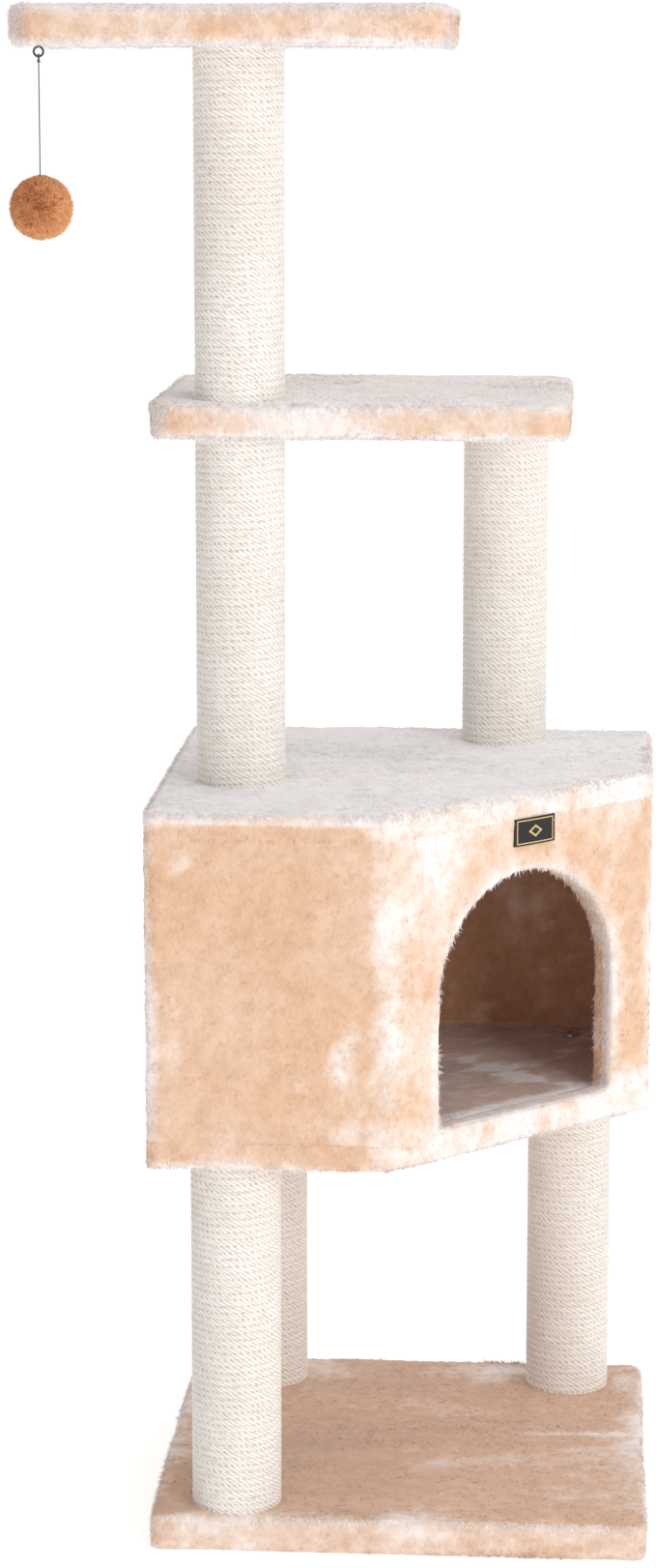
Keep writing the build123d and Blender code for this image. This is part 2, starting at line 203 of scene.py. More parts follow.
def make_string():
    """The thin two-ply string that the pom-pom hangs on, straight down from the knot into the fur."""
    low, high = ends("toy_cord")
    middle = (low + high) / 2
    top, bottom = (middle[0], middle[1], high[2]), (middle[0], middle[1], low[2])
    line = spline_points([top, tuple(middle), bottom])
    radius = (high[0] - low[0]) / 2
    around, rings = 12, 260
    share = np.linspace(0, 1, rings)
    heights = np.linspace(line[0][2], line[-1][2], rings)
    x, y = (np.interp(share, np.linspace(0, 1, len(line)), line[:, k])[:, None] for k in (0, 1))
    angle = np.linspace(0, 2 * math.pi, around, endpoint=False)
    twist = 2 * math.pi * (heights - heights[0]) / PLY_PITCH
    reach = radius * (0.72 + 0.28 * np.abs(np.cos(angle[None, :] - twist[:, None])))
    points = np.stack([x + reach * np.cos(angle), y + reach * np.sin(angle),
                       np.repeat(heights[:, None], around, axis=1)], axis=-1).reshape(-1, 3)
    string = closed_rings("toy_string", points, around, flip=True)
    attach(string, "toy_string")
    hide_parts("toy_cord")
    return string


toy_string = make_string()


# --- Materials ---
COLOUR_MIX = (0, 6, 7)    # a colour Mix node's inputs: its factor and two colours


class Shader:
    """A material's node tree with short ways to add nodes."""

    def __init__(self, name):
        self.material = bpy.data.materials.new(name)
        self.material.use_nodes = True
        self.tree = self.material.node_tree
        self.skin = self.tree.nodes["Principled BSDF"]

    def add(self, kind, **settings):
        node = self.tree.nodes.new("ShaderNode" + kind)
        for key, value in settings.items():
            if key in node.inputs:
                node.inputs[key].default_value = value
            else:
                setattr(node, key, value)
        return node

    def join(self, source, target):
        self.tree.links.new(source, target)

    def places(self, scale=(1, 1, 1), turn=(0, 0, 0), source=None):
        """The piece's own coordinates in metres, or the source's, stretched and turned."""
        if source is None:
            source = self.add("TexCoord").outputs["Object"]
        fit = self.add("Mapping", Scale=scale, Rotation=turn)
        self.join(source, fit.inputs["Vector"])
        return fit.outputs["Vector"]

    def noise(self, vector, scale, detail=3.0, rough=0.5):
        node = self.add("TexNoise", Scale=scale, Detail=detail, Roughness=rough)
        self.join(vector, node.inputs["Vector"])
        return node.outputs["Fac"]

    def ramp(self, value, stops):
        node = self.add("ValToRGB")
        while len(node.color_ramp.elements) < len(stops):
            node.color_ramp.elements.new(0.5)
        for element, (place, colour) in zip(node.color_ramp.elements, stops):
            element.position = place
            element.color = (*colour, 1)
        self.join(value, node.inputs["Fac"])
        return node.outputs["Color"]

    def feed(self, node, places, sources):
        """Gives a node's inputs their numbers, colours or links."""
        for place, source in zip(places, sources):
            if isinstance(source, bpy.types.NodeSocket):
                self.join(source, node.inputs[place])
            else:
                node.inputs[place].default_value = (*source, 1) if isinstance(source, tuple) else source

    def mix(self, factor, first, second, way="MIX"):
        node = self.add("Mix", data_type="RGBA", blend_type=way)
        self.feed(node, COLOUR_MIX, (factor, first, second))
        return node.outputs[2]

    def times(self, colour, value, *stops):
        """The colour multiplied by a ramp."""
        return self.mix(1.0, colour, self.ramp(value, stops), "MULTIPLY")

    def number(self, way, first, second):
        node = self.add("Math", operation=way)
        self.feed(node, (0, 1), (first, second))
        return node.outputs[0]

    def read(self, name):
        return self.add("Attribute", attribute_name=name).outputs["Fac"]

    def bump(self, height, strength, distance):
        node = self.add("Bump", Strength=strength, Distance=distance)
        self.join(height, node.inputs["Height"])
        self.join(node.outputs["Normal"], self.skin.inputs["Normal"])

    def paint(self, colour):
        self.join(colour, self.skin.inputs["Base Color"])

    def set(self, **settings):
        """Sets the shader's own sockets, with _ for each space in their names."""
        for key, value in settings.items():
            self.skin.inputs[key.replace("_", " ")].default_value = value


WHITER = (0.88, 0.845, 0.845)     # the palest pile: brushed patches, and painted sheen on rims


def plush_material(name, peach, pale, laid, top, streak, turn=0.0, sheen=0.8, size=21.0):
    """Brushed plush: peach where the pile stands, pale where it lies over. laid is how much lies over on
    upright faces, and top is the colour painted on faces that look up: painted sheen where it is paler,
    painted shade where it is darker. streak and turn stretch and turn the brushed marks, and size is how
    many of them there are in a metre. The mesh's "pale" says where the pile lies over too, and where rims
    carry painted sheen, and its "facing" how far the surface looks up."""
    cloth = Shader(name)
    spot = cloth.places()
    drift = cloth.noise(spot, size * 0.4, 2.0)
    brushed = cloth.noise(cloth.places(streak, (0, 0, turn)), size, 5.0, 0.62)
    clumps = cloth.noise(spot, 85.0, 4.0, 0.65)
    strands = cloth.noise(cloth.places((1, 1, 0.35)), 700.0, 3.0, 0.75)
    nap = cloth.number("ADD", cloth.number("MULTIPLY", drift, 0.5), cloth.number("MULTIPLY", brushed, 0.5))
    nap = cloth.number("ADD", nap, cloth.number("MULTIPLY", cloth.number("SUBTRACT", clumps, 0.5), 0.22))
    deep = (peach[0] * 0.95, peach[1] * 0.865, peach[2] * 0.77)
    depth = cloth.ramp(nap, [(0.38, deep), (0.58, peach)])
    # Faces that look up take the top colour: painted sheen where it is paler, painted shade where it is
    # darker.
    if top:
        upward = cloth.ramp(cloth.read("facing"), [(0.45, (0, 0, 0)), (0.95, (1, 1, 1))])
        top_light_and_shade = cloth.ramp(nap, [(0.36, tuple(c * 0.87 for c in top)), (0.5, top),
                                       (0.62, tuple(min(c * 1.08, 0.93) for c in top))])
        depth = cloth.mix(upward, depth, top_light_and_shade)
    lain = cloth.number("ADD", nap, cloth.number("MULTIPLY", cloth.read("pale"), 0.30))
    ease = 0.3 * laid
    share = cloth.ramp(lain, [(0.56 - ease, (0, 0, 0)), (0.66 - ease, (0.38, 0.38, 0.38)),
                              (0.84 - ease, (1, 1, 1))])
    colour = cloth.mix(share, depth, pale)
    whitest = cloth.ramp(lain, [(0.74 - ease, (0, 0, 0)), (0.92 - ease, (1, 1, 1))])
    colour = cloth.mix(whitest, colour, WHITER)
    colour = cloth.times(colour, clumps, (0.32, (0.90, 0.885, 0.87)), (0.62, (1, 1, 1)))
    cloth.paint(cloth.times(colour, strands, (0.30, (0.90, 0.89, 0.88)), (0.70, (1.06, 1.06, 1.06))))
    cloth.bump(strands, 0.4, 0.6 * MM)
    cloth.set(Roughness=1.0, Sheen_Weight=sheen, Sheen_Roughness=0.4, Sheen_Tint=(1.0, 0.97, 0.98, 1),
              Specular_IOR_Level=0.1)
    return cloth.material


# LILAC is the colour painted on faces that look up: painted sheen.
PEACH, PALE, LILAC = (0.76, 0.54, 0.40), (0.86, 0.75, 0.69), (0.89, 0.875, 0.885)
plush = plush_material("plush", PEACH, PALE, 0.42, LILAC, (1, 1, 0.8), 0.0, 0.8, 13.0)
wall_plush = plush_material("wall_plush", PEACH, PALE, 0.0, None, (1, 1, 0.6))
roof_plush = plush_material("roof_plush", PEACH, PALE, 0.0, LILAC, (0.3, 1, 1), 0.2)
# The base's top colour, a little darker than its sides, is painted shade under the condo.
base_plush = plush_material("base_plush", (0.70, 0.47, 0.33), PALE, -0.1, (0.66, 0.44, 0.31), (0.25, 1, 1),
                            0.0, 0.5)
# room_plush is a darker, browner copy of the plush for the room inside the condo: painted shade.
room_plush = plush_material("room_plush", (0.72, 0.45, 0.31), (0.95, 0.72, 0.58), 0.12, None, (1, 1, 1),
                            0.0, 0.5, 34.0)
# floor_plush is darker still, as painted shade on the room's floor, and its pale streaks carry painted sheen.
floor_plush = plush_material("floor_plush", (0.56, 0.35, 0.245), (0.98, 0.91, 0.88), 0.12, None,
                             (0.35, 1.2, 1), 0.5, 0.9, 26.0)


def sisal_material():
    """Wound sisal: ivory crests, grooves painted darker as painted shade, and fibres twisted along each turn.
    """
    rope = Shader("sisal")
    along = rope.add("UVMap", uv_map="rope").outputs["UV"]
    fibres = rope.noise(rope.places((0.3, 3.0, 1), (0, 0, math.radians(38)), along), 260.0, 4.0, 0.65)
    drift = rope.noise(rope.places(), 14.0, 3.0)
    crest = rope.read("crest")
    # The crest number runs from painted shade in the grooves to the ivory crests.
    colour = rope.ramp(crest, [(0.05, (0.38, 0.29, 0.22)), (0.40, (0.72, 0.645, 0.58)),
                               (0.92, (0.92, 0.90, 0.89))])
    colour = rope.times(colour, drift, (0.35, (0.97, 0.955, 0.93)), (0.65, (1.02, 1.02, 1.01)))
    rope.paint(rope.times(colour, fibres, (0.32, (0.82, 0.79, 0.75)), (0.5, (1, 1, 1)),
                          (0.7, (1.06, 1.06, 1.05))))
    rope.bump(fibres, 0.6, 0.5 * MM)
    rope.set(Roughness=0.82, Sheen_Weight=0.15, Sheen_Roughness=0.5, Specular_IOR_Level=0.3)
    return rope.material


def plain_pattern(name, dark, light, scale, rough, metal=0.0, stretch=(1, 1, 1)):
    """Simple material: one noise sets the colour, from dark to light, the roughness and a bump."""
    made = Shader(name)
    speck = made.noise(made.places(stretch), scale, 4.0, 0.6)
    made.paint(made.ramp(speck, [(0.3, dark), (0.7, light)]))
    value = made.ramp(speck, [(0.3, (rough * 0.85,) * 3), (0.7, (min(rough * 1.15, 1.0),) * 3)])
    made.join(value, made.skin.inputs["Roughness"])
    made.bump(speck, 0.2, 0.2 * MM)
    made.set(Metallic=metal)
    return made.material


sisal = sisal_material()
steel = plain_pattern("zinc_steel", (0.45, 0.45, 0.43), (0.66, 0.66, 0.64), 300, 0.32, 1.0)
chipboard = plain_pattern("particleboard", (0.42, 0.29, 0.17), (0.66, 0.50, 0.32), 260, 0.85)
card = plain_pattern("tube_card", (0.40, 0.27, 0.16), (0.52, 0.38, 0.25), 120, 0.9)
wood = plain_pattern("plug_wood", (0.45, 0.30, 0.16), (0.62, 0.45, 0.27), 60, 0.7, stretch=(1, 0.15, 1))
thread = plain_pattern("string", (0.05, 0.035, 0.06), (0.13, 0.10, 0.15), 1500, 0.7)


def yarn_material():
    """The pom-pom's yarn, with painted shade: dark deep in the ball where strands part, lighter at the cut
    ends.
    """
    yarn = Shader("pompom_yarn")
    clumps = yarn.noise(yarn.places(), 170.0, 4.0, 0.6)
    fine = yarn.noise(yarn.places(), 900.0, 3.0, 0.7)
    # tip runs from painted shade at the core to the lighter cut ends.
    ends_up = yarn.ramp(yarn.read("tip"),
                        [(0.0, (0.52, 0.18, 0.06)), (0.5, (0.86, 0.38, 0.16)), (1.0, (0.95, 0.54, 0.27))])
    colour = yarn.times(ends_up, clumps, (0.3, (0.84, 0.80, 0.77)), (0.6, (1, 1, 1)))
    yarn.paint(yarn.times(colour, fine, (0.3, (0.88, 0.86, 0.84)), (0.7, (1.08, 1.08, 1.08))))
    yarn.set(Roughness=0.9, Sheen_Weight=0.4, Sheen_Roughness=0.4, Sheen_Tint=(1.0, 0.78, 0.6, 1))
    return yarn.material


fur_brown = yarn_material()


def give(piece, material):
    """The first material of a new piece."""
    piece.data.materials.append(material)


def dress_node(name, material):
    """A better material on a CAD node that stays."""
    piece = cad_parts[name]
    if not piece.material_slots:
        piece.data.materials.append(material)
    for slot in piece.material_slots:
        slot.link = "OBJECT"
        slot.material = material


def dress_nodes():
    """Steel, particleboard, card, wood or thread for each CAD node that stays, by a word in its name."""
    words = {"bolt": steel, "washer": steel, "nuts": steel, "staples": steel, "screw": steel, "stud": steel,
             "board": chipboard, "wall": chipboard, "tube": card, "plugs": wood, "loop": thread}
    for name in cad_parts:
        for word, material in words.items():
            if word in name and not name.endswith(("cover", "lining")):
                dress_node(name, material)
                break


dress_nodes()
dark_steel = plain_pattern("dark_steel", (0.05, 0.045, 0.05), (0.12, 0.11, 0.12), 300, 0.35, 0.8)
dress_node("toy_screw_eye", dark_steel)


# --- Sisal posts ---
TURN = 5.55 * MM           # height of one turn of rope
ROPE_HALF = TURN / 2
ROWS_PER_TURN, COLUMNS = 8, 224
STRAND = 5.2 * MM         # spacing of the rope's strands along it
FIBRES = 90               # loose fibres on each post
STRAYS = 9                # how many of the front post's are longer


def sisal_post(post, seed):
    """One post's winding: a helix of rope turns with twisted strands, and loose fibres."""
    low, high = ends(post + "_rope")
    middle = (low + high) / 2
    radius = (high[0] - low[0]) / 2
    rows = int((high[2] - low[2]) / TURN * ROWS_PER_TURN)
    angle = np.linspace(0, 2 * math.pi, COLUMNS, endpoint=False)
    height = np.linspace(low[2], high[2], rows + 1)
    around, up = np.meshgrid(angle, height)
    flat = np.stack([np.cos(around).ravel(), np.sin(around).ravel(), up.ravel() * 3], axis=1)
    sway = smooth_noise(flat, 0.6, seed).reshape(around.shape)
    turn = up / TURN - around / (2 * math.pi) + 0.24 * sway
    across = (turn % 1.0) * 2 - 1
    crest = np.sqrt(1 - np.clip(np.abs(across), 0, 0.97) ** 2)
    along = (np.floor(turn) * 2 * math.pi + around) * radius
    laid = along + 2.4 * MM * np.sin(along / (27 * MM)) + 1.8 * MM * np.sin(along / (11 * MM) + seed)
    strand = np.abs(np.sin(math.pi * (laid / STRAND + across * 0.80)))
    fine = smooth_noise(flat * (30, 30, 300), 1.0, seed + 7)
    depth = ROPE_HALF * 0.34 * (1 - crest) + 1.15 * MM * (1 - strand) + 0.12 * MM * fine.reshape(across.shape)
    depth += 0.25 * MM * (sway + 1)
    reach = radius - depth
    points = np.stack([middle[0] + reach * np.cos(around), middle[1] + reach * np.sin(around), up], axis=-1)
    _, quads = ring_quads(rows + 1, COLUMNS)
    # shade is painted shade: low in the grooves between turns and between strands, 1 on the crests.
    shade = (crest * 0.24 + strand * 0.76).ravel()
    where = np.stack([along.ravel(), across.ravel() * ROPE_HALF], axis=1)
    points = points.reshape(-1, 3)
    strays = STRAYS if "front" in post else 0
    more, triangles = loose_fibres(middle, radius, low[2], high[2], FIBRES, seed, strays)
    shade = np.concatenate([shade, np.ones(len(more))])
    where = np.concatenate([where, more[:, [2, 0]]])
    piece = new_mesh(post + "_sisal", np.concatenate([points, more]), [quads, triangles + len(points)])
    point_numbers(piece.data, "crest", shade)
    where = where[corner_points(piece.data)].astype(np.float32)
    piece.data.uv_layers.new(name="rope").data.foreach_set("uv", where.ravel())
    give(piece, sisal)
    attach(piece, "root")
    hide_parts(post + "_rope")
    return piece


def loose_fibres(middle, radius, low, high, count, seed, long):
    """Thin bent slivers that stand off the rope, more of them near its foot. long of them are longer
    strays at the foot."""
    rng = np.random.default_rng(seed)
    steps = 6
    start = rng.uniform(0, 2 * math.pi, count)
    foot = low + (high - low) * rng.uniform(0.03, 0.97, count) ** 1.3
    length = rng.uniform(5, 16, count) * MM
    lift = rng.uniform(0.05, 0.6, count)
    length[:long] = rng.uniform(16, 27, long) * MM
    foot[:long] = low + rng.uniform(0.03, 0.30, long) * (high - low)
    start[:long] = rng.uniform(-0.9, 0.5, long)
    lift[:long] = rng.uniform(0.35, 0.60, long)
    climb = rng.uniform(-0.7, 0.7, count)
    way = rng.choice((-1, 1), count)
    width = rng.uniform(0.10, 0.20, count) * MM
    width[:long] = 0.32 * MM
    share, row, up = np.linspace(0, 1, steps), np.arange(steps - 1), np.array([0, 0, 1.0])
    points, faces = [], []
    for k in range(count):
        reach = radius - 0.6 * MM + length[k] * lift[k] * share ** 1.5
        turn = start[k] + way[k] * length[k] * share / radius
        rise = foot[k] + climb[k] * length[k] * share
        line = np.stack([middle[0] + reach * np.cos(turn), middle[1] + reach * np.sin(turn), rise], axis=1)
        thick = width[k] * (1 - 0.8 * share)[:, None]
        out = np.stack([np.cos(turn), np.sin(turn), np.zeros(steps)], axis=1)
        base = len(points) * steps
        points += [line + thick * (a * out + b * up) for a, b in ((1, 0), (-0.5, 0.87), (-0.5, -0.87))]
        for one, two in ((0, 1), (1, 2), (2, 0)):
            p, q = base + one * steps + row, base + two * steps + row
            faces += [np.stack([p, q, q + 1], axis=1), np.stack([p, q + 1, p + 1], axis=1)]
    return np.concatenate(points), np.concatenate(faces)


POSTS = ["lower_post_front_left", "lower_post_back_left", "lower_post_back_right",
         "mid_post_left", "mid_post_right", "top_post"]
give(toy_string, thread)
for number, post_name in enumerate(POSTS):
    sisal_post(post_name, 11 + number)


# --- Plush forms ---
FUR = -0.5 * MM           # a form's inset from its CAD cover: it stands half a millimetre outside
SEAM_REACH = 6 * MM       # how far from a seam the fur is combed level
CLUMP, FINE = 0.55 * MM, 0.35 * MM        # how far the surface moves in and out
TUFT_WIDTH, TUFT_LEAN = 0.5 * MM, 0.85


def rounded_outline(corners, radius, steps=6):
    """Plan outline with its convex corners rounded, as points in order."""
    points = []
    count = len(corners)
    for k in range(count):
        before, here, after = (np.array(corners[(k + d) % count]) for d in (-1, 0, 1))
        back = (before - here) / np.linalg.norm(before - here)
        ahead = (after - here) / np.linalg.norm(after - here)
        half = math.acos(float(np.clip(back @ ahead, -1, 1))) / 2
        pull = radius / math.tan(half)
        heart = here + (back + ahead) / np.linalg.norm(back + ahead) * radius / math.sin(half)
        first, last = here + back * pull, here + ahead * pull
        begin = math.atan2(*(first - heart)[::-1])
        sweep = (math.atan2(*(last - heart)[::-1]) - begin + math.pi) % (2 * math.pi) - math.pi
        for step in range(steps + 1):
            angle = begin + sweep * step / steps
            points.append(heart + radius * np.array([math.cos(angle), math.sin(angle)]))
    return np.array(points)


def slab(name, corners, radius, low, high, low_rim, high_rim=None):
    """Closed slab on a plan outline with rounded corners and rims, as a stack of rings."""
    high_rim = low_rim if high_rim is None else high_rim
    quarter = np.linspace(0, math.pi / 2, 5)
    levels = [(low + low_rim * (1 - math.sin(a)), low_rim * (1 - math.cos(a))) for a in quarter[::-1]]
    levels += [(high - high_rim * (1 - math.sin(a)), high_rim * (1 - math.cos(a))) for a in quarter]
    rings = []
    for height, inset in levels:
        inner = rounded_outline(shrink(corners, inset), max(radius - inset, 0.5 * MM))
        rings.append(np.column_stack([inner, np.full(len(inner), height)]))
    return closed_rings(name, np.concatenate(rings), len(rings[0]))


def shrink(corners, inset):
    """Plan outline, anticlockwise, with every side moved in by inset."""
    made = []
    count = len(corners)
    for k in range(count):
        before, here, after = (np.array(corners[(k + d) % count], dtype=float) for d in (-1, 0, 1))
        first, second = (here - before), (after - here)
        first, second = first / np.linalg.norm(first), second / np.linalg.norm(second)
        one, two = np.array([-first[1], first[0]]), np.array([-second[1], second[0]])
        made.append(here + (one + two) * inset / (1 + one @ two))
    return made


def remeshed(piece, voxel, rounds):
    """Points, faces and normals of the piece after a voxel remesh; the piece itself is removed."""
    remesh = piece.modifiers.new("remesh", "REMESH")
    remesh.mode = "VOXEL"
    remesh.voxel_size = voxel
    remesh.use_smooth_shade = True
    relax = piece.modifiers.new("relax", "SMOOTH")
    relax.factor, relax.iterations = 0.5, rounds
    whole = piece.evaluated_get(bpy.context.evaluated_depsgraph_get()).to_mesh()
    points, normals = (vector_rows(whole.vertices, key).astype(float) for key in ("co", "normal"))
    quads = corner_points(whole).reshape(-1, 4)
    bpy.data.objects.remove(piece)
    return points, quads, normals


def nap_direction(points, normals, seed):
    """Which way the pile lies: along the surface, swirling slowly, and down on upright faces."""
    swirl = noise_vectors(points, 0.09, seed) + 0.6 * noise_vectors(points, 0.025, seed + 5)
    swirl[:, 2] -= 0.7
    swirl -= normals * np.sum(swirl * normals, axis=1, keepdims=True)
    return unit(swirl)


SLANT = math.sqrt(0.5)
FACES = np.array([(1, 0, 0), (-1, 0, 0), (0, 1, 0), (0, -1, 0), (0, 0, 1), (0, 0, -1),
                  (SLANT, -SLANT, 0), (-SLANT, SLANT, 0)])   # the ways that the flat faces look


def rim_share(normals):
    """How far each normal turns away from the form's flat faces: 0 on a face, 1 on a rim."""
    return np.clip((1 - np.max(normals @ FACES.T, axis=1)) / 0.12, 0, 1)


def pile(points, quads, normals, rim, count, length, seed):
    """Tapered tufts over a surface, each a thin closed spike, more of them and more upright on the rims:
    their points, faces and normals, and the surface point that each one stands by."""
    rng = np.random.default_rng(seed)
    a, b, c, d = (points[quads[:, k]] for k in range(4))
    area = np.linalg.norm(np.cross(c - a, d - b), axis=1) * (0.22 + rim[quads].mean(axis=1))
    pick = rng.choice(len(quads), count, p=area / area.sum())
    u, v = rng.random((2, count, 1))
    foot = (a[pick] * (1 - u) + b[pick] * u) * (1 - v) + (d[pick] * (1 - u) + c[pick] * u) * v
    up = unit(normals[quads[pick]].mean(axis=1))
    edge = rim[quads[pick]].mean(axis=1)[:, None]
    nap = nap_direction(foot, up, seed)
    tall = length * rng.uniform(0.55, 1.2, (count, 1)) * (0.8 + 0.35 * edge)
    stand = (1 - TUFT_LEAN) * rng.uniform(0.5, 1.2, (count, 1)) * (1 + 1.5 * edge)
    jitter = rng.normal(size=(count, 3)) * 0.3
    jitter -= up * np.sum(jitter * up, axis=1, keepdims=True)
    way = unit(up * stand + nap * TUFT_LEAN + jitter)
    side = unit(np.cross(way, up)) * TUFT_WIDTH * rng.uniform(0.6, 1.3, (count, 1))
    low = foot - up * 0.2 * MM
    made = np.stack([low - side, low + side, low - up * 0.8 * MM, foot + way * tall], axis=1).reshape(-1, 3)
    start = np.arange(count)[:, None] * 4
    faces = np.concatenate([start + np.array(face) for face in ((0, 2, 1), (0, 1, 3), (1, 2, 3), (2, 0, 3))])
    return made, faces, np.repeat(up, 4, axis=0), np.repeat(quads[pick, 0], 4)


def ruffle(points, normals, seed):
    """Moves a plush surface in and out: soft clumps and finer tufts."""
    lift = noises(points, seed, (CLUMP, 0.028), (0.6 * CLUMP, 0.011), (FINE, 0.0045))
    return points + normals * lift[:, None]


def plush_piece(name, form, material, nodes, tufts, seed, voxel=3 * MM, length=5 * MM,
                floor=None, relax=3, brushed=None, inside=None, seams=()):
    """Turns a plain closed form into a furry piece that stands for some CAD nodes. brushed says how pale
    each point of the surface is, painted sheen included, inside which points take a second material, and
    seams the heights where it meets the next piece. Without brushed, the rims are painted pale as painted
    sheen."""
    points, quads, normals = remeshed(form, voxel, relax)
    rim = rim_share(normals)
    for seam in seams:
        level = (np.abs(points[:, 2] - seam) < SEAM_REACH) & (np.abs(normals[:, 2]) < 0.95)
        normals[level, 2] = 0
        normals[level] = unit(normals[level])
        rim = np.where(level, rim * 0.4, rim)
    # Without brushed, the rims are painted pale: painted sheen.
    pale = brushed(points, normals) if brushed else 0.75 * rim
    inner = inside[0](points, normals) if inside else np.zeros(len(points), dtype=bool)
    pale = np.where(inner, noises(points, 15, (0.45, 0.045), (0.4, 0.014)), pale)
    points = ruffle(points, normals, seed)
    hairs, faces, shading, by = pile(points, quads, normals, rim, tufts, length, seed)
    count = len(points)
    together = np.concatenate([points, hairs])
    if floor is not None:
        together[:, 2] = np.maximum(together[:, 2], floor)
    piece = new_mesh(name, together, [quads, faces + count], np.concatenate([normals, shading]))
    # Tufts on the rims are painted paler still: painted sheen, which also lightens their own shaded sides.
    point_numbers(piece.data, "pale", np.concatenate([pale, pale[by] + 0.9 * rim[by]]))
    point_numbers(piece.data, "facing", np.concatenate([normals[:, 2], shading[:, 2]]))
    give(piece, material)
    if inside:
        piece.data.materials.append(inside[1])
        second = np.concatenate([inner[quads].all(axis=1), np.tile(inner[by[::4]], 4)])
        piece.data.polygons.foreach_set("material_index", second.astype(np.int32))
    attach(piece, "root")
    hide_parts(*nodes)
    return piece


def square_plan(low, high, inset):
    """Plan rectangle of a box, moved in."""
    return [(low[0] + inset, low[1] + inset), (high[0] - inset, low[1] + inset),
            (high[0] - inset, high[1] - inset), (low[0] + inset, high[1] - inset)]


def near(distance, reach):
    """1 at a line, falling away over reach metres."""
    return np.exp(-(distance / reach) ** 2)


def soft_step(value):
    """0 below 0 and 1 above 1, with a soft change between."""
    value = np.clip(value, 0, 1)
    return value * value * (3 - 2 * value)


def spot(points, at, reach, turn, strength):
    """strength at a place on the plan, falling away over two reaches along its own turned axes."""
    flat = points[:, :2] - np.array(at)
    along = flat @ np.array([math.cos(turn), math.sin(turn)])
    across = flat @ np.array([-math.sin(turn), math.cos(turn)])
    return strength * np.exp(-(along / reach[0]) ** 2 - (across / reach[1]) ** 2)


BASE_SPOTS = (            # pale spots on the base's top: at, reach, turn and strength
    ((0.075, 0.172), (0.055, 0.026), -0.25, 1),
    ((-0.085, 0.168), (0.030, 0.030), 0, 1),
    ((0.150, 0.012), (0.085, 0.007), 0.04, 0.9),
    ((0.196, 0.06), (0.014, 0.20), 0, 0.7),
    ((-0.196, 0.0), (0.018, 0.20), 0, 0.9),
    ((0.185, 0.150), (0.016, 0.05), 0, 0.9),
    ((0.06, -0.06), (0.09, 0.010), 0.35, 0.35),
    ((-0.06, -0.196), (0.16, 0.014), 0, 0.8))


def base_brushed(points, normals):
    """The base's sides are pale, and so are parts of its top: at the back, the right edge and one streak."""
    side = 0.74 * soft_step((1 - np.abs(normals[:, 2])) * 1.6)
    top = np.maximum.reduce([spot(points, *row) for row in BASE_SPOTS])
    pale = np.maximum(side, top * 1.15)
    return pale + noises(points, 3, (0.20, 0.030), (0.14, 0.010))


def platform_brushed_and_sheen(points, _normals):
    """The platforms' sides are painted pale along their rounded top and bottom edges, as painted sheen, and
    are pale in places between.
    """
    low, high = points[:, 2].min(), points[:, 2].max()
    # painted sheen along the rounded rims
    edge = near(np.minimum(points[:, 2] - low, high - points[:, 2]), 5.5 * MM)
    return 0.75 * edge + np.clip(noises(points, 23, (0.40, 0.060), (0.22, 0.016)), -0.35, 0.9)


def make_platforms():
    """The two platforms' and the base's covers."""
    for name, seed in (("mid_platform", 31), ("top_platform", 41)):
        low, high = ends(name + "_cover")
        form = slab(name, square_plan(low, high, FUR), 24 * MM, low[2] + FUR, high[2] - FUR, 7 * MM)
        plush_piece(name + "_plush", form, plush, [name + "_cover"], 30000, seed, brushed=platform_brushed_and_sheen)
    low, high = ends("base_cover")
    form = slab("base", square_plan(low, high, FUR), 9 * MM, low[2], high[2] - FUR, 1.2 * MM, 5 * MM)
    plush_piece("base_plush", form, base_plush, ["base_cover"], 32000, 51, floor=0.2 * MM,
                brushed=base_brushed)


make_platforms()


# --- Condo ---
CUT = 205 * MM            # how far the cut corner runs back along both sides
DOOR_SHIFT = 5 * MM       # the doorway sits a little right of the cut wall's middle
DOOR_HALF = 95 * MM
SPRING = 446 * MM         # height where the doorway's arch starts
SILL = 0.350              # height of the doorway's sill
TOP_LINE, CREASE = 0.587, 0.586           # under the roof: where the pile lies over, and the crease that is painted with shade
ROOF_EDGE = 0.5935        # where the roof cover's rounded top edge starts
STREAK_AT, STREAK_SIZE = (-0.045, 0.405), (0.017, 0.040)      # a leaning brushed streak on the front wall
STREAK_LEAN, STREAK_FOOT = 0.25, 0.41     # its lean, counted from this height
PATCH_AT, PATCH_SIZE = (-0.176, 0.566), (0.016, 0.012)        # and a small patch at its upper left


def condo_plan():
    """The condo's five plan corners, anticlockwise from the front left."""
    low, high = ends("condo_wall_cover")
    return [(low[0], low[1]), (high[0] - CUT, low[1]), (high[0], low[1] + CUT),
            (high[0], high[1]), (low[0], high[1])]


def prism(name, plan, low, high):
    """Closed straight prism on a plan outline."""
    count = len(plan)
    rings = [np.column_stack([np.array(plan), np.full(count, z)]) for z in (low, high)]
    return closed_rings(name, np.concatenate(rings), count, smooth=False)


def cut_away(piece, tool):
    """Takes the tool's shape out of the piece, and removes the tool."""
    step = piece.modifiers.new("cut", "BOOLEAN")
    step.operation, step.solver, step.object = "DIFFERENCE", "EXACT", tool
    made = bpy.data.meshes.new_from_object(piece.evaluated_get(bpy.context.evaluated_depsgraph_get()))
    piece.modifiers.clear()
    piece.data = made
    bpy.data.objects.remove(tool)


def cut_wall_frame():
    """Middle of the doorway on the cut wall's face, the way along the wall, and the way out of it."""
    plan = condo_plan()
    first, last = np.array(plan[1]), np.array(plan[2])
    along = (last - first) / np.linalg.norm(last - first)
    return (first + last) / 2 + along * DOOR_SHIFT, along, np.array([along[1], -along[0]])


